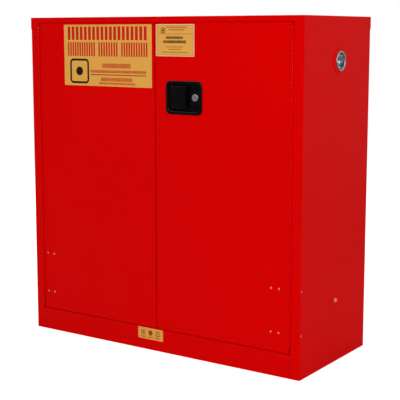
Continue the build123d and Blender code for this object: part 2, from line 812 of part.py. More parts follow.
with BuildPart() as right_door_inner_skin:
    add(inner_skin(right_door_x))
finish(right_door_inner_skin.part, "right_door_inner_skin")

with BuildPart() as right_door_stiffener:
    add(door_stiffener(right_rivet_x))
finish(right_door_stiffener.part, "right_door_stiffener")

with BuildPart() as right_door_rivets:
    add(door_rivets(right_rivet_x))
finish(right_door_rivets.part, "right_door_rivets")

# The paddle's tail passes the dish's floor and the plate through one slot.
tail_slot = ([paddle_pin_x + x for x in tail_slot_x],
             (latch_z - tail_slot_half_height, latch_z + tail_slot_half_height))
dish_depth = dish_floor + bezel_proud
dish_lean = dish_depth * math.tan(math.radians(dish_draft))

with BuildPart() as latch_housing:
    # Bezel with a rounded front edge.
    with BuildSketch(latch_face):
        RectangleRounded(bezel_width, bezel_height, bezel_corner)
    extrude(amount=bezel_proud)
    fillet(latch_housing.faces().sort_by(Axis.Y)[0].edges(), bezel_edge)
    # Body of the dish, through the door's skin.
    with BuildSketch(latch_face):
        RectangleRounded(body_width, body_height, dish_corner + latch_wall)
    extrude(amount=-(plate_front_y + shell_y))
    with BuildSketch(front_plane(latch_x, latch_z, floor_y)):
        RectangleRounded(dish_width - 2 * dish_lean, dish_height - 2 * dish_lean,
                         dish_corner - dish_lean)
    extrude(amount=dish_depth, taper=-dish_draft, mode=Mode.SUBTRACT)
    bezel_face = latch_housing.faces().sort_by(Axis.Y)[0]
    fillet(bezel_face.inner_wires()[0].edges(), dish_mouth_edge)
    # Raised seat for the lock, against the right wall of the dish, with a ledge above it.
    seat_x = (lock_x - lock_boss_width / 2, latch_x + dish_width / 2)
    seat_top = lock_z + lock_boss_height / 2
    add(block(seat_x, (boss_face_y, floor_y), (seat_top - lock_boss_height, seat_top)))
    add(block(seat_x, (boss_face_y, boss_face_y + ledge_depth),
              (seat_top - ledge_inset - ledge_height, seat_top - ledge_inset)), mode=Mode.SUBTRACT)
    with BuildSketch(front_plane(lock_x, lock_z, plate_front_y)):
        Circle(lock_body_radius)
    extrude(amount=dish_depth + latch_wall, mode=Mode.SUBTRACT)
    # Eyes for the paddle's pin above and below the paddle.
    for z_range in ((latch_z - dish_height / 2, paddle_z[0] - 0.5),
                    (paddle_z[1] + 1.0, latch_z + dish_height / 2)):
        with BuildSketch(Plane.XY.offset(z_range[0])):
            with Locations((paddle_pin_x, paddle_pin_y)):
                Circle(pin_eye_radius)
                Rectangle(2 * pin_eye_radius, floor_y - paddle_pin_y, align=(mid, low))
        extrude(amount=z_range[1] - z_range[0])
    with BuildSketch(Plane.XY.offset(latch_z - dish_height / 2)):
        with Locations((paddle_pin_x, paddle_pin_y)):
            Circle(paddle_pin_radius)
    extrude(amount=dish_height, mode=Mode.SUBTRACT)
    add(block(tail_slot[0], (floor_y - 1, plate_front_y + 1), tail_slot[1]), mode=Mode.SUBTRACT)
finish(latch_housing.part, "latch_housing")

plate_reach = 10.0
plate_half_height = body_height / 2 + 4.0
plate_foot = 14.0
screw_spots = [(latch_x + sx * (body_width / 2 - 9.0), latch_z + sz * (body_height / 2 - 7.0))
               for sx in (-1, 1) for sz in (-1, 1)]

with BuildPart() as latch_plate:
    plate_line = [(-shell_y + sheet, latch_z - plate_half_height - plate_foot),
                  (-shell_y + sheet, latch_z - plate_half_height),
                  (plate_front_y, latch_z - plate_half_height),
                  (plate_front_y, latch_z + plate_half_height),
                  (-shell_y + sheet, latch_z + plate_half_height),
                  (-shell_y + sheet, latch_z + plate_half_height + plate_foot)]
    add(bent_sheet(Plane.YZ.offset(latch_x - body_width / 2 - plate_reach), plate_line,
                   body_width + 2 * plate_reach, side=Side.RIGHT, thickness=plate_thickness,
                   radius=plate_thickness + 1))
    add(block(tail_slot[0], (plate_front_y - 1, plate_back_y + 1), tail_slot[1]),
        mode=Mode.SUBTRACT)
    holes = [(x, z, screw_shank_radius) for x, z in screw_spots]
    holes += [(latch_x, latch_z, hub_stud_radius - 1), (lock_x, lock_z, lock_body_radius + 0.3)]
    for x, z, radius in holes:
        with BuildSketch(front_plane(x, z, plate_back_y + 1)):
            Circle(radius)
        extrude(amount=plate_thickness + 2, mode=Mode.SUBTRACT)
finish(latch_plate.part, "latch_plate")

cross_length, cross_width, cross_depth = screw_cross

with BuildPart() as latch_screws:
    for x, z in screw_spots:
        with BuildSketch(front_plane(x, z, plate_back_y)):
            Circle(screw_shank_radius)
        extrude(amount=plate_thickness)
        with BuildSketch(front_plane(x, z, plate_back_y)):
            Circle(screw_head_radius)
        extrude(amount=-screw_head_height)
        with BuildSketch(front_plane(x, z, plate_back_y + screw_head_height)):
            Rectangle(cross_length, cross_width)
            Rectangle(cross_width, cross_length)
        extrude(amount=cross_depth, mode=Mode.SUBTRACT)
finish(latch_screws.part, "latch_screws")

with BuildPart() as paddle_pin:
    with BuildSketch(Plane.XY.offset(latch_z - dish_height / 2)):
        with Locations((paddle_pin_x, paddle_pin_y)):
            Circle(paddle_pin_radius)
    extrude(amount=dish_height)
finish(paddle_pin.part, "paddle_pin")

barrel_bottom = paddle_z[0]
barrel_top = paddle_z[1] - barrel_stop
paddle_front = -shell_y - bezel_proud + 0.8

with BuildPart() as paddle:
    # Face plate with a grip folded back along its free edge.
    with BuildSketch(front_plane(sum(paddle_x) / 2, sum(paddle_z) / 2, paddle_front + paddle_sheet)):
        RectangleRounded(paddle_x[1] - paddle_x[0], paddle_z[1] - paddle_z[0], paddle_corner)
    extrude(amount=paddle_sheet)
    fillet(paddle.faces().sort_by(Axis.Y)[0].edges(), paddle_edge)
    with BuildSketch(Plane.XY.offset(paddle_z[0] + paddle_corner)):
        with Locations((paddle_x[1] - grip_thickness, paddle_front + paddle_edge)):
            Rectangle(grip_thickness, grip_depth, align=(low, low))
    extrude(amount=paddle_z[1] - paddle_z[0] - 2 * paddle_corner)
    fillet(paddle.edges().filter_by(Axis.Z).sort_by(Axis.Y)[-2:], 1.2)
    # Barrel on the pin, and the tail that reaches the bolt work.
    with BuildSketch(Plane.XY.offset(barrel_bottom)):
        with Locations((paddle_pin_x, paddle_pin_y)):
            Circle(barrel_radius)
            Rectangle(2 * barrel_radius, paddle_pin_y - paddle_front - 1.0, align=(mid, high))
    extrude(amount=barrel_top - barrel_bottom)
    add(block([paddle_pin_x + x for x in tail_x], (paddle_pin_y, hub_front_y - 0.9),
              (latch_z - tail_half_height, latch_z + tail_half_height)))
    with BuildSketch(Plane.XY.offset(barrel_bottom - 1)):
        with Locations((paddle_pin_x, paddle_pin_y)):
            Circle(paddle_pin_radius + paddle_pin_clearance)
    extrude(amount=barrel_top - barrel_bottom + 2, mode=Mode.SUBTRACT)
finish(paddle.part, "paddle")

spring_bottom = barrel_top + 0.5
spring_top = paddle_z[1] + 1.0

with BuildPart() as paddle_spring:
    with BuildLine() as spring_path:
        Helix(pitch=spring_pitch, height=spring_top - spring_bottom - 2 * spring_wire, radius=spring_radius,
              center=(paddle_pin_x, paddle_pin_y, spring_bottom + spring_wire))
    with BuildSketch(Plane(origin=spring_path.line @ 0, z_dir=spring_path.line % 0)):
        Circle(spring_wire)
    sweep(path=spring_path.line, is_frenet=True)
finish(paddle_spring.part, "paddle_spring")

barrel_back_y = boss_face_y + lock_body_length

with BuildPart() as lock_barrel:
    with BuildSketch(front_plane(lock_x, lock_z, boss_face_y)):
        Circle(lock_face_radius)
    extrude(amount=lock_face_thickness)
    fillet(lock_barrel.faces().sort_by(Axis.Y)[0].edges(), 1.0)
    with BuildSketch(front_plane(lock_x, lock_z, boss_face_y)):
        Circle(lock_body_radius)
    extrude(amount=-lock_body_length)
    with BuildSketch(front_plane(lock_x, lock_z, barrel_back_y + 1)):
        Circle(lock_plug_radius + lock_plug_clearance)
    extrude(amount=lock_body_length + lock_face_thickness + 2, mode=Mode.SUBTRACT)
finish(lock_barrel.part, "lock_barrel")

plug_face_y = boss_face_y - lock_face_thickness
plug_back_y = barrel_back_y + lock_plug_tail
key_width, key_height, key_depth = keyway

with BuildPart() as lock_plug:
    with BuildSketch(front_plane(lock_x, lock_z, plug_face_y)):
        Circle(lock_plug_radius)
    extrude(amount=plug_face_y - plug_back_y)
    with BuildSketch(front_plane(lock_x, lock_z, plug_face_y)):
        Rectangle(key_width, key_height)
    extrude(amount=-key_depth, mode=Mode.SUBTRACT)
finish(lock_plug.part, "lock_plug")

with BuildPart() as lock_cam:
    # The cam passes behind the upper rod.
    with BuildSketch(front_plane(lock_x, lock_z, rod_back_y + 0.4)):
        SlotCenterPoint((0, -cam_reach[0]), (0, -cam_reach[1]), cam_width)
        Circle(lock_plug_radius + 3.0)
        Circle(lock_plug_radius, mode=Mode.SUBTRACT)
    extrude(amount=-cam_thickness)
finish(lock_cam.part, "lock_cam")

# ---------------------------------------------------------------- bolt work
crank_angles = {"upper": -hub_half_turn, "lower": 180 - hub_half_turn, "centre": 90 - hub_half_turn}


def crank(name):
    """Where a crank pin of the hub stands with the bolts drawn back, as (x, z)."""
    point = Vector(crank_radius, 0).rotate(Axis.Z, crank_angles[name])
    return latch_x + point.X, latch_z + point.Y


with BuildPart() as hub_stud:
    with BuildSketch(front_plane(latch_x, latch_z, plate_back_y)):
        Circle(hub_stud_radius - 1)
    extrude(amount=plate_thickness)
    with BuildSketch(front_plane(latch_x, latch_z, plate_back_y)):
        Circle(hub_stud_radius)
    extrude(amount=-(hub_thickness + 1.0))
    with BuildSketch(front_plane(latch_x, latch_z, plate_back_y + hub_thickness + 1.0)):
        Circle(stud_head_radius)
    extrude(amount=-stud_head_height)
finish(hub_stud.part, "hub_stud")

with BuildPart() as bolt_hub:
    with BuildSketch(front_plane(latch_x, latch_z, hub_front_y)):
        Circle(hub_radius)
        Circle(hub_bore, mode=Mode.SUBTRACT)
    extrude(amount=-hub_thickness)
    for name in crank_angles:
        x, z = crank(name)
        with BuildSketch(front_plane(x, z, hub_back_y)):
            Circle(crank_pin_radius)
        extrude(amount=hub_back_y - guide_back_y)
finish(bolt_hub.part, "bolt_hub")

slot_height = 2 * (crank_pin_radius + rod_slot_clearance)
slot_shift = crank_radius - crank_side


def vertical_rod(name, x, z_tip):
    """A flat rod with a level slot for its crank pin; x is the rod's centre line."""
    pin_z = crank(name)[1]
    z_eye = pin_z - eye_margin if z_tip > pin_z else pin_z + eye_margin
    with BuildPart() as rod:
        add(block((x - rod_width / 2, x + rod_width / 2), (rod_front_y, rod_back_y),
                  sorted((z_eye, z_tip))))
        tip = rod.faces().sort_by(Axis.Z)[-1 if z_tip > pin_z else 0]
        chamfer(tip.edges().filter_by(Axis.Y), bolt_tip)
        with BuildSketch(front_plane((crank(name)[0] + x) / 2, pin_z, rod_back_y + 1)):
            Rectangle(slot_height + 2 * slot_shift, slot_height)
        extrude(amount=rod_thickness + 2, mode=Mode.SUBTRACT)
    return rod.part


with BuildPart() as upper_rod:
    add(vertical_rod("upper", strike_x[0], door_top - rod_inset))
finish(upper_rod.part, "upper_rod")

with BuildPart() as lower_rod:
    add(vertical_rod("lower", strike_x[1], door_bottom + rod_inset))
finish(lower_rod.part, "lower_rod")

with BuildPart() as centre_bolt:
    pin_x, pin_z = crank("centre")
    add(block((gap_right + rod_inset, pin_x + eye_margin), (rod_front_y, rod_back_y),
              (centre_bolt_z - rod_width / 2, centre_bolt_z + rod_width / 2)))
    chamfer(centre_bolt.faces().sort_by(Axis.X)[0].edges().filter_by(Axis.Y), bolt_tip)
    with BuildSketch(front_plane(pin_x, centre_bolt_z, rod_back_y + 1)):
        Rectangle(slot_height, slot_height + 2 * slot_shift)
    extrude(amount=rod_thickness + 2, mode=Mode.SUBTRACT)
finish(centre_bolt.part, "centre_bolt")

guide_half = rod_width / 2 + guide_clearance
guide_foot = guide_half + guide_foot_length


def guide_line(centre):
    """A hat section over a rod, with its feet on the outer skin, as (across, y)."""
    skin_y = -shell_y + sheet
    return [(centre - guide_foot, skin_y), (centre - guide_half, skin_y),
            (centre - guide_half, guide_back_y), (centre + guide_half, guide_back_y),
            (centre + guide_half, skin_y), (centre + guide_foot, skin_y)]


with BuildPart() as rod_guides:
    for x, z in zip(strike_x, guide_heights):
        add(bent_sheet(Plane.XY.offset(z), guide_line(x), guide_width, radius=1.0))
finish(rod_guides.part, "rod_guides")
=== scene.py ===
import json
import math

import bmesh
import bpy
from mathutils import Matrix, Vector


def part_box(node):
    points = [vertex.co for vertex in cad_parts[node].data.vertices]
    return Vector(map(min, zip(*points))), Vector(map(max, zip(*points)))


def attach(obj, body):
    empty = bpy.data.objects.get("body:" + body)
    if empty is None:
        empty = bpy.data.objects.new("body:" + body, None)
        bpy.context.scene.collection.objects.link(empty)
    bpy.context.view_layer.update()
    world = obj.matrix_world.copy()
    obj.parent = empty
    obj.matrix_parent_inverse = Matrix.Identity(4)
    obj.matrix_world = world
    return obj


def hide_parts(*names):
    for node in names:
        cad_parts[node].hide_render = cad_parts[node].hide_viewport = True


# Looks for a two-door flammable storage cabinet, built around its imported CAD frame. Metres.

MM = 0.001
PRINT_THICKNESS = 0.06 * MM      # how far printed marks stand out of a label
BAR_CORNER = 1.6 * MM            # the largest corner radius of a printed bar
BAR_CORNER_SHARE = 0.22          # and its share of the bar's height

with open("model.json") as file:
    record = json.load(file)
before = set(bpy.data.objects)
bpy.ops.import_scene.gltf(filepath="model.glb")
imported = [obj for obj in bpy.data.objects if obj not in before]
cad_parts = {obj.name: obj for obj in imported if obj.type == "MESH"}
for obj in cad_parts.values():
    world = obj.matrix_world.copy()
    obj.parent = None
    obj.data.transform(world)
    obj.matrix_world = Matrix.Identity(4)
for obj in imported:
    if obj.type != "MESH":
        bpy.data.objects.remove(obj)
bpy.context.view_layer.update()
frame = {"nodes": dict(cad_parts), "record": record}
nodes = frame["nodes"]


# ---------------------------------------------------------------- small helpers
def srgb(r, g, b):
    """A screen colour, 0 to 255, as linear light with alpha."""
    def linear(c):
        c = c / 255
        return c / 12.92 if c <= 0.04045 else ((c + 0.055) / 1.055) ** 2.4
    return (linear(r), linear(g), linear(b), 1.0)


class Shader:
    """A Principled material whose nodes are added one by one."""

    def __init__(self, name, **constants):
        self.material = bpy.data.materials.new(name)
        self.material.use_nodes = True
        self.tree = self.material.node_tree
        self.bsdf = self.tree.nodes["Principled BSDF"]
        self.coords = self.tree.nodes.new("ShaderNodeTexCoord").outputs["Object"]
        for key, value in constants.items():
            self.bsdf.inputs[key.replace("_", " ")].default_value = value

    def node(self, kind, **settings):
        """A new node of the material; settings are its own attributes."""
        item = self.tree.nodes.new(kind)
        for key, value in settings.items():
            setattr(item, key, value)
        return item

    def link(self, out, socket):
        self.tree.links.new(out, socket)

    def stretched(self, scale):
        """Object coordinates, stretched by a factor on each axis."""
        mapping = self.node("ShaderNodeMapping")
        mapping.inputs["Scale"].default_value = scale
        self.link(self.coords, mapping.inputs["Vector"])
        return mapping.outputs["Vector"]

    def noise(self, scale, detail=2.0, roughness=0.5, vector=None):
        """Noise over the object's coordinates; a scale of 100 has features of about 1 cm."""
        item = self.node("ShaderNodeTexNoise")
        item.inputs["Scale"].default_value = scale
        item.inputs["Detail"].default_value = detail
        item.inputs["Roughness"].default_value = roughness
        self.link(vector or self.coords, item.inputs["Vector"])
        return item.outputs["Fac"]

    def spread(self, value, low, high, from_low=0.3, from_high=0.7):
        """A texture value mapped to a range."""
        item = self.node("ShaderNodeMapRange")
        item.inputs["From Min"].default_value = from_low
        item.inputs["From Max"].default_value = from_high
        item.inputs["To Min"].default_value = low
        item.inputs["To Max"].default_value = high
        self.link(value, item.inputs["Value"])
        return item.outputs["Result"]

    def ramp(self, value, *stops):
        """A texture value mapped to colours; stops are (position, colour)."""
        item = self.node("ShaderNodeValToRGB")
        elements = item.color_ramp.elements
        while len(elements) < len(stops):
            elements.new(0.5)
        for element, (position, colour) in zip(elements, stops):
            element.position = position
            element.color = colour
        self.link(value, item.inputs["Fac"])
        return item.outputs["Color"]

    def bump(self, *layers):
        """Height fields stacked as bumps; layers are (value, strength, depth in metres)."""
        normal = None
        for value, strength, depth in layers:
            item = self.node("ShaderNodeBump")
            item.inputs["Strength"].default_value = strength
            item.inputs["Distance"].default_value = depth
            self.link(value, item.inputs["Height"])
            if normal:
                self.link(normal, item.inputs["Normal"])
            normal = item.outputs["Normal"]
        self.link(normal, self.bsdf.inputs["Normal"])


# ---------------------------------------------------------------- materials
def powder_coat(name, light, dark):
    """Satin powder coat: fine orange peel, a slow drift in tone and in gloss."""
    s = Shader(name, Specular_IOR_Level=0.06, Specular_Tint=(1.0, 0.25, 0.2, 1.0), IOR=1.5)
    drift = s.noise(2.3, 3.0, 0.55)
    s.link(s.ramp(drift, (0.3, dark), (0.7, light)), s.bsdf.inputs["Base Color"])
    s.link(s.spread(s.noise(55.0, 3.0), 0.34, 0.44), s.bsdf.inputs["Roughness"])
    s.bump((s.noise(420.0, 2.0, 0.4), 0.35, 0.00006), (s.noise(1900.0, 1.0), 0.2, 0.00002))
    return s.material


def galvanized(name):
    """Hot-dip zinc with its frosted spangle."""
    s = Shader(name, Metallic=0.75)
    cells = s.node("ShaderNodeTexVoronoi")
    cells.inputs["Scale"].default_value = 110.0
    cells.inputs["Randomness"].default_value = 1.0
    wobble = s.node("ShaderNodeTexNoise")
    wobble.inputs["Scale"].default_value = 35.0
    s.link(s.coords, wobble.inputs["Vector"])
    mixed = s.node("ShaderNodeMix", data_type="VECTOR")
    mixed.inputs["Factor"].default_value = 0.04
    # A mix node has its sockets for every data type: these are the vector ones.
    vector_a, vector_b, vector_result = mixed.inputs[4], mixed.inputs[5], mixed.outputs[1]
    s.link(s.coords, vector_a)
    s.link(wobble.outputs["Color"], vector_b)
    s.link(vector_result, cells.inputs["Vector"])
    grey = s.node("ShaderNodeSeparateColor")
    s.link(cells.outputs["Color"], grey.inputs["Color"])
    s.link(s.ramp(grey.outputs["Red"], (0.0, srgb(186, 190, 193)), (0.5, srgb(200, 203, 206)),
                  (1.0, srgb(216, 219, 221))), s.bsdf.inputs["Base Color"])
    s.link(s.spread(grey.outputs["Green"], 0.42, 0.52, 0.0, 1.0), s.bsdf.inputs["Roughness"])
    s.bump((cells.outputs["Distance"], 0.08, 0.00005), (s.noise(900.0), 0.15, 0.00002))
    return s.material


def plated(name, tone, shade, rough_low, rough_high, metallic=1.0, depth=0.00003):
    """Plated metal with a fine grain; depth is the grain's height in metres."""
    s = Shader(name, Metallic=metallic)
    s.link(s.ramp(s.noise(160.0, 3.0), (0.3, shade), (0.7, tone)), s.bsdf.inputs["Base Color"])
    s.link(s.spread(s.noise(300.0, 3.0), rough_low, rough_high), s.bsdf.inputs["Roughness"])
    s.bump((s.noise(1200.0, 2.0), 0.25, depth))
    return s.material


def gloss_paint(name, light, dark):
    """Glossy paint that has run smooth over a rivet's dome, in colours lightened to pink as a
    painted highlight.
    """
    s = Shader(name, Specular_IOR_Level=0.5, Coat_Weight=1.0, Coat_Roughness=0.12)
    s.link(s.ramp(s.noise(80.0, 2.0), (0.3, dark), (0.7, light)), s.bsdf.inputs["Base Color"])
    s.link(s.spread(s.noise(200.0, 2.0), 0.18, 0.3), s.bsdf.inputs["Roughness"])
    s.bump((s.noise(500.0, 2.0), 0.15, 0.00003))
    return s.material


def black_finish(name):
    """Glossy black finish of the cast latch: faint ripple, gloss a little uneven."""
    s = Shader(name, Specular_IOR_Level=0.3)
    s.link(s.ramp(s.noise(30.0, 3.0), (0.3, srgb(6, 6, 7)), (0.7, srgb(13, 13, 14))),
           s.bsdf.inputs["Base Color"])
    s.link(s.spread(s.noise(90.0, 3.0), 0.16, 0.28), s.bsdf.inputs["Roughness"])
    s.bump((s.noise(260.0, 2.0), 0.2, 0.00005), (s.noise(1500.0), 0.15, 0.00001))
    return s.material


def gold_film(name, tone, shade):
    """Printed gold label film with a faint brushed grain along its length."""
    s = Shader(name, Specular_IOR_Level=0.3, Coat_Weight=0.1, Coat_Roughness=0.3)
    grain = s.noise(60.0, 4.0, vector=s.stretched((1.0, 1.0, 14.0)))
    s.link(s.ramp(grain, (0.3, shade), (0.7, tone)), s.bsdf.inputs["Base Color"])
    s.link(s.spread(s.noise(200.0), 0.38, 0.5), s.bsdf.inputs["Roughness"])
    s.bump((s.noise(1500.0, 2.0), 0.2, 0.00001))
    return s.material


def ink(name, tone, shade):
    """Screen-printed ink: slightly mottled, with the film's texture showing through."""
    s = Shader(name, Specular_IOR_Level=0.25)
    s.link(s.ramp(s.noise(500.0, 4.0, 0.6), (0.25, shade), (0.6, tone)),
           s.bsdf.inputs["Base Color"])
    s.link(s.spread(s.noise(250.0), 0.45, 0.6), s.bsdf.inputs["Roughness"])
    s.bump((s.noise(2200.0, 2.0), 0.25, 0.00001))
    return s.material


RED = powder_coat("red_powder_coat", srgb(230, 0, 0), srgb(225, 0, 0))
GALVANIZED = galvanized("spangled_zinc")
ZINC = plated("zinc_plate", srgb(196, 199, 204), srgb(170, 172, 178), 0.26, 0.42)
BRIGHT_ZINC = plated("bright_zinc", srgb(214, 217, 220), srgb(176, 180, 186), 0.2, 0.34)
WIRE = plated("screen_wire", srgb(168, 166, 158), srgb(120, 118, 112), 0.3, 0.5)
# The rivets' pink tones are red paint lightened by a painted highlight, standing in for the shine
# on the domes.
RIVET_PAINT_AND_PAINTED_HIGHLIGHT = gloss_paint("rivet_paint_and_painted_highlight", srgb(255, 130, 124), srgb(250, 92, 88))
# The ground screw's pink tone is a painted reflection of the red cabinet on bare zinc.
GROUND_ZINC_PAINTED_RED_REFLECTION = plated("ground_zinc_painted_red_reflection", srgb(255, 176, 164), srgb(244, 128, 118), 0.3, 0.45, metallic=0.2)
SPRING = plated("spring_wire", srgb(120, 120, 122), srgb(92, 92, 95), 0.25, 0.4)
CHROME = plated("chrome", srgb(230, 232, 234), srgb(206, 208, 211), 0.1, 0.2, metallic=0.78,
                depth=0.00001)
BLACK = black_finish("latch_black")
GOLD = gold_film("gold_film", srgb(243, 179, 80), srgb(238, 172, 73))
INK_RED = ink("red_ink", srgb(214, 30, 18), srgb(204, 24, 14))
INK_BLACK = ink("black_ink", srgb(34, 26, 18), srgb(26, 20, 14))
INK_BROWN = ink("brown_ink", srgb(158, 84, 30), srgb(142, 74, 26))
CREAM = ink("cream_ink", srgb(244, 214, 176), srgb(238, 204, 164))

BY_SLOT = {
    "red_paint": RED, "galvanized_steel": GALVANIZED, "zinc_plated_steel": ZINC,
    "bright_zinc": BRIGHT_ZINC, "screen_wire": WIRE, "painted_rivet": RIVET_PAINT_AND_PAINTED_HIGHLIGHT,
    "black_finish": BLACK, "spring_steel": SPRING, "chrome_plate": CHROME, "gold_label": GOLD,
}
# The ground screw takes the zinc with the painted red reflection.
BY_NODE = {"ground_screw": GROUND_ZINC_PAINTED_RED_REFLECTION}
for part in frame["record"]["subparts"]:
    data = nodes[part["node"]].data
    data.materials.clear()
    data.materials.append(BY_NODE.get(part["node"]) or BY_SLOT[part["material_slot"]])


# ---------------------------------------------------------------- mesh helpers
def new_piece(name, bm, material, body):
    """Turns a bmesh into a piece with a material that rides on a body."""
    mesh = bpy.data.meshes.new(name)
    bm.normal_update()
    bm.to_mesh(mesh)
    bm.free()
    piece = bpy.data.objects.new(name, mesh)
    bpy.context.scene.collection.objects.link(piece)
    mesh.materials.append(material)
    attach(piece, body)
    return piece


def rounded_bar(x0, x1, z0, z1, radius, steps=4):
    """Outline of a bar with rounded corners, as (x, z), counter-clockwise seen from the front."""
    outline = []
    corners = ((x1 - radius, z1 - radius, 0), (x0 + radius, z1 - radius, 90),
               (x0 + radius, z0 + radius, 180), (x1 - radius, z0 + radius, 270))
    for cx, cz, start in corners:
        for i in range(steps + 1):
            angle = math.radians(start + 90 * i / steps)
            outline.append((cx + radius * math.cos(angle), cz + radius * math.sin(angle)))
    return outline


def add_slab(bm, outline, y_back, hole=None):
    """A thin printed patch that stands out of a face towards -Y, with an optional hole.

    A hole has as many points as the outline, starting at the same corner.
    """
    front_y = y_back - PRINT_THICKNESS
    rings = [[bm.verts.new((x, y, z)) for x, z in outline] for y in (y_back, front_y)]
    count = len(outline)
    for i in range(count):
        j = (i + 1) % count
        bm.faces.new((rings[0][i], rings[0][j], rings[1][j], rings[1][i]))
    if hole is None:
        bm.faces.new(rings[1])
        bm.faces.new(tuple(reversed(rings[0])))
        return
    inner = [[bm.verts.new((x, y, z)) for x, z in hole] for y in (y_back, front_y)]
    for i in range(count):
        j = (i + 1) % count
        bm.faces.new((inner[0][j], inner[0][i], inner[1][i], inner[1][j]))
        bm.faces.new((rings[1][i], rings[1][j], inner[1][j], inner[1][i]))
        bm.faces.new((rings[0][j], rings[0][i], inner[0][i], inner[0][j]))


class Label:
    """Places prints on a label's front by fractions of its width and height, from the top left."""

    def __init__(self, node, body):
        low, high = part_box(node)
        self.body = body
        self.x0, self.z1 = low[0], high[2]
        self.w, self.h = high[0] - low[0], high[2] - low[2]
        self.y = low[1]

    def at(self, u, v):
        """The (x, z) of a place on the label."""
        return self.x0 + u * self.w, self.z1 - v * self.h

    def bars(self, bm, spans):
        """Bars given as (u0, u1, v0, v1)."""
        for u0, u1, v0, v1 in spans:
            (x0, z1), (x1, z0) = self.at(u0, v0), self.at(u1, v1)
            radius = min(BAR_CORNER_SHARE * (z1 - z0), BAR_CORNER)
            add_slab(bm, rounded_bar(x0, x1, z0, z1, radius), self.y)

    def rows(self, bm, spans, pitch, fill):
        """Rows of upright strokes that stand in for words, given as (u0, u1, v0, v1).

        pitch is in metres, and fill is the part of it that a stroke covers.
        """
        for u0, u1, v0, v1 in spans:
            count = max(2, round((u1 - u0) * self.w / pitch))
            step = (u1 - u0) / count
            strokes = [(u0 + i * step, u0 + (i + fill) * step, v0, v1) for i in range(count)]
            self.bars(bm, strokes)

    def spot(self, bm, u, v, radius):
        """A plain disc."""
        add_slab(bm, disc(self.at(u, v), radius), self.y)

    def box_line(self, bm, x0, x1, z0, z1, line):
        """The outline of a box with rounded corners."""
        outer = rounded_bar(x0, x1, z0, z1, 2 * line)
        inner = rounded_bar(x0 + line, x1 - line, z0 + line, z1 - line, line)
        add_slab(bm, outer, self.y, inner)

    def frame(self, bm, inset, line):
        """A line around the label at an inset, in metres."""
        self.box_line(bm, self.x0 + inset, self.x0 + self.w - inset,
                      self.z1 - self.h + inset, self.z1 - inset, line)

    def dotted_square(self, bm, u, v, side, line, dot):
        """A plain square outline with a disc in it; side, line and dot are in metres."""
        x, z = self.at(u, v)
        half = side / 2
        self.box_line(bm, x - half, x + half, z - half, z + half, line)
        self.spot(bm, u, v, dot)

    def piece(self, name, bm, material):
        """Makes one piece of what has been printed so far."""
        new_piece(name, bm, material, self.body)


def disc(centre, radius, steps=28):
    """Outline of a disc, as (x, z)."""
    return [(centre[0] + radius * math.cos(2 * math.pi * i / steps),
             centre[1] + radius * math.sin(2 * math.pi * i / steps)) for i in range(steps)]


# ---------------------------------------------------------------- label prints
placard = Label("warning_placard", "left_door")
bm = bmesh.new()
placard.rows(bm, [(0.045, 0.965, 0.03, 0.25)], 18.0 * MM, 0.64)
placard.rows(bm, [(0.045, 0.375, 0.285, 0.515), (0.405, 0.635, 0.285, 0.515),
                  (0.665, 0.965, 0.285, 0.515)], 10.5 * MM, 0.6)
placard.piece("placard_heading_strokes", bm, INK_RED)
bm = bmesh.new()
placard.dotted_square(bm, 0.18, 0.76, 84.0 * MM, 7.0 * MM, 15.0 * MM)
placard.piece("placard_pictogram", bm, INK_BLACK)
bm = bmesh.new()
placard.rows(bm, [(0.45, 0.77, 0.625, 0.705), (0.31, 0.94, 0.735, 0.785),
                  (0.43, 0.79, 0.855, 0.92), (0.41, 0.82, 0.935, 0.97)], 4.6 * MM, 0.62)
placard.piece("placard_small_strokes", bm, INK_RED)
bm = bmesh.new()
placard.bars(bm, [(0.31, 0.94, 0.806, 0.822)])
placard.piece("placard_rule", bm, INK_BROWN)

small = Label("specification_label", "right_door")
bm = bmesh.new()
small.frame(bm, 0.0, 2.4 * MM)
small.piece("specification_border", bm, CREAM)
bm = bmesh.new()
small.frame(bm, 4.0 * MM, 0.8 * MM)
small.rows(bm, [(0.28, 0.82, 0.075, 0.115), (0.34, 0.76, 0.15, 0.19),
                (0.28, 0.72, 0.69, 0.72), (0.34, 0.66, 0.765, 0.795), (0.16, 0.84, 0.86, 0.89)],
           2.4 * MM, 0.66)
small.bars(bm, [(0.08, 0.92, 0.295, 0.308)])
small.piece("specification_small_strokes", bm, INK_BROWN)
bm = bmesh.new()
small.rows(bm, [(0.27, 0.71, 0.375, 0.46), (0.2, 0.79, 0.5, 0.595)], 4.4 * MM, 0.72)
small.dotted_square(bm, 0.195, 0.19, 17.0 * MM, 2.2 * MM, 4.0 * MM)
small.piece("specification_dark_strokes", bm, INK_BLACK)

sill = Label("sill_label", "cabinet")
bm = bmesh.new()
sill.dotted_square(bm, 0.21, 0.42, 17.0 * MM, 2.2 * MM, 4.0 * MM)
sill.spot(bm, 0.5, 0.42, 9.0 * MM)
sill.bars(bm, [(0.7, 0.88, 0.2 + 0.17 * i, 0.28 + 0.17 * i) for i in range(3)])
sill.rows(bm, [(0.11, 0.31, 0.76, 0.86), (0.4, 0.6, 0.76, 0.86), (0.69, 0.89, 0.76, 0.86)],
          2.4 * MM, 0.66)
sill.piece("sill_label_marks", bm, INK_BROWN)


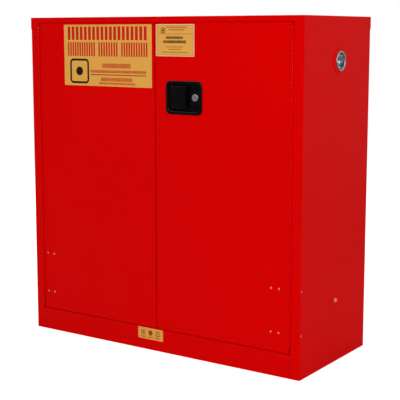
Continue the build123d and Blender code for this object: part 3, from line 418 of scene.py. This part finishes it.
# ---------------------------------------------------------------- woven wire
def woven_wire(bm, path, radius, sides=6):
    """A round wire swept along a list of points that lie across X."""
    rings = []
    for i, point in enumerate(path):
        ahead = (path[min(i + 1, len(path) - 1)] - path[max(i - 1, 0)]).normalized()
        across = ahead.cross(Vector((1, 0, 0))).normalized()
        up = across.cross(ahead)
        rings.append([bm.verts.new(point + radius * (math.cos(a) * across + math.sin(a) * up))
                      for a in [2 * math.pi * k / sides for k in range(sides)]])
    for low, high in zip(rings, rings[1:]):
        for k in range(sides):
            m = (k + 1) % sides
            bm.faces.new((low[k], low[m], high[m], high[k]))
    bm.faces.new(tuple(reversed(rings[0])))
    bm.faces.new(rings[-1])


WIRE_PITCH = 2.5 * MM
WIRE_RADIUS = 0.22 * MM
SCREEN_RADIUS = 26.8 * MM
WIRES_EACH_SIDE = 10             # of the middle wire, both ways
HALF_SCREEN = 0.5 * MM           # half the thickness of the disc that the weave replaces
BORE_RADIUS = 27.0 * MM          # radius of that disc

low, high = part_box("flame_arrester_screens")
bm = bmesh.new()
for middle_x, middle_z in ((low[0] + HALF_SCREEN, low[2] + BORE_RADIUS),
                           (high[0] - HALF_SCREEN, high[2] - BORE_RADIUS)):
    middle = Vector((middle_x, (low[1] + high[1]) / 2, middle_z))
    for row in range(-WIRES_EACH_SIDE, WIRES_EACH_SIDE + 1):
        across = row * WIRE_PITCH
        reach = math.sqrt(SCREEN_RADIUS ** 2 - across ** 2)
        stations = [-reach] + [k * WIRE_PITCH for k in range(-WIRES_EACH_SIDE, WIRES_EACH_SIDE + 1)
                               if abs(k * WIRE_PITCH) < reach] + [reach]
        for along, sign in ((Vector((0, 0, 1)), 1), (Vector((0, 1, 0)), -1)):
            side_step = Vector((0, 1, 0)) if sign > 0 else Vector((0, 0, 1))
            path = []
            for t in stations:
                over = sign * (-1) ** (row + round(t / WIRE_PITCH)) * WIRE_RADIUS
                path.append(middle + side_step * across + along * t + Vector((over, 0, 0)))
            woven_wire(bm, path, WIRE_RADIUS)
bmesh.ops.recalc_face_normals(bm, faces=bm.faces)
arresters = new_piece("woven_flame_arresters", bm, WIRE, "cabinet")
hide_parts("flame_arrester_screens")

# ---------------------------------------------------------------- floor, lights, camera
FLOOR_SIZE = 40.0
FLOOR_GLOW = 0.66                # what the camera sees on top of the lit floor
FLOOR_IN_GLOSS = 0.16            # how pale the floor is in reflections

floor_bm = bmesh.new()
bmesh.ops.create_grid(floor_bm, x_segments=8, y_segments=8, size=FLOOR_SIZE)
floor_mesh = bpy.data.meshes.new("floor")
floor_bm.to_mesh(floor_mesh)
floor_bm.free()
floor = bpy.data.objects.new("floor", floor_mesh)
bpy.context.scene.collection.objects.link(floor)
floor_shader = Shader("studio_floor", Roughness=0.9, Specular_IOR_Level=0.05,
                      Emission_Color=(1.0, 1.0, 1.0, 1.0))
floor_shader.link(floor_shader.ramp(floor_shader.noise(0.5), (0.3, srgb(236, 236, 236)),
                                    (0.7, srgb(240, 240, 240))),
                  floor_shader.bsdf.inputs["Base Color"])
floor_paths = floor_shader.node("ShaderNodeLightPath")
floor_glow = floor_shader.node("ShaderNodeMath", operation="MULTIPLY")
floor_glow.inputs[1].default_value = FLOOR_GLOW
floor_shader.link(floor_paths.outputs["Is Camera Ray"], floor_glow.inputs[0])
floor_shader.link(floor_glow.outputs["Value"], floor_shader.bsdf.inputs["Emission Strength"])
floor_dark = floor_shader.node("ShaderNodeBsdfDiffuse")
floor_dark.inputs["Color"].default_value = (FLOOR_IN_GLOSS, FLOOR_IN_GLOSS, FLOOR_IN_GLOSS, 1.0)
floor_mix = floor_shader.node("ShaderNodeMixShader")
floor_shader.link(floor_paths.outputs["Is Glossy Ray"], floor_mix.inputs[0])
floor_shader.link(floor_shader.bsdf.outputs["BSDF"], floor_mix.inputs[1])
floor_shader.link(floor_dark.outputs["BSDF"], floor_mix.inputs[2])
floor_shader.link(floor_mix.outputs["Shader"],
                  floor_shader.tree.nodes["Material Output"].inputs["Surface"])
floor_mesh.materials.append(floor_shader.material)

scene = bpy.context.scene
scene.view_settings.view_transform = "Standard"

world = bpy.data.worlds.new("studio")
scene.world = world
world.use_nodes = True
tree = world.node_tree
background = tree.nodes["Background"]
background.inputs["Color"].default_value = (1.0, 1.0, 1.0, 1.0)
paths = tree.nodes.new("ShaderNodeLightPath")
BACKDROP = 1.0                   # brightness that the camera sees
ROOM = 0.4                       # and that lights the cabinet
ROOM_IN_GLOSS = ((0.0, 0.1), (0.35, 0.18), (0.6, 0.9), (1.0, 1.0))   # and in reflections


def by_height(*stops):
    """A brightness that goes from the horizon to straight up; stops are (height, brightness)."""
    coords = tree.nodes.new("ShaderNodeTexCoord")
    split = tree.nodes.new("ShaderNodeSeparateXYZ")
    tree.links.new(coords.outputs["Generated"], split.inputs[0])
    item = tree.nodes.new("ShaderNodeValToRGB")
    elements = item.color_ramp.elements
    while len(elements) < len(stops):
        elements.new(0.5)
    for element, (height, brightness) in zip(elements, stops):
        element.position = height
        element.color = (brightness, brightness, brightness, 1.0)
    tree.links.new(split.outputs["Z"], item.inputs["Fac"])
    return item.outputs["Color"]


def by_ray(condition, yes, no):
    """One brightness for rays of a kind and another for the rest."""
    item = tree.nodes.new("ShaderNodeMix")
    tree.links.new(condition, item.inputs["Factor"])
    float_a, float_b, float_result = item.inputs[2], item.inputs[3], item.outputs[0]
    for socket, value in ((float_a, no), (float_b, yes)):
        if isinstance(value, float):
            socket.default_value = value
        else:
            tree.links.new(value, socket)
    return float_result


indirect = by_ray(paths.outputs["Is Glossy Ray"], by_height(*ROOM_IN_GLOSS), ROOM)
tree.links.new(by_ray(paths.outputs["Is Camera Ray"], BACKDROP, indirect),
               background.inputs["Strength"])


def soft_light(name, location, target, size, watts):
    """A rectangular area light aimed at a point."""
    data = bpy.data.lights.new(name, "AREA")
    data.shape = "RECTANGLE"
    data.size, data.size_y = size
    data.energy = watts
    light = bpy.data.objects.new(name, data)
    light.location = location
    light.rotation_euler = (Vector(target) - Vector(location)).to_track_quat("-Z", "Y").to_euler()
    scene.collection.objects.link(light)


centre = (0.0, 0.0, 0.55)
soft_light("key", (2.1, -3.4, 2.0), centre, (2.2, 2.2), 62.0)
soft_light("side", (4.4, 0.8, 2.2), centre, (2.5, 2.5), 17.0)
soft_light("top", (-0.6, 0.2, 4.2), centre, (3.0, 2.4), 34.0)
soft_light("card", (2.4, 3.3, 1.1), (0.546, 0.0, 0.95), (1.6, 2.0), 3.6)
soft_light("rear_left", (-3.4, 2.6, 2.2), centre, (2.5, 2.5), 40.0)

camera_data = bpy.data.cameras.new("camera")
camera_data.sensor_width = 36.0
camera_data.lens = 93.66
camera_data.shift_y = -0.045
camera = bpy.data.objects.new("camera", camera_data)
camera.location = (2.030, -2.961, 1.067)
yaw = math.radians(34.18)        # from straight ahead of the doors
pitch = math.radians(8.18)       # downwards
ahead = Vector((-math.sin(yaw) * math.cos(pitch), math.cos(yaw) * math.cos(pitch),
                -math.sin(pitch)))
camera.rotation_euler = ahead.to_track_quat("-Z", "Y").to_euler()
scene.collection.objects.link(camera)
scene.camera = camera
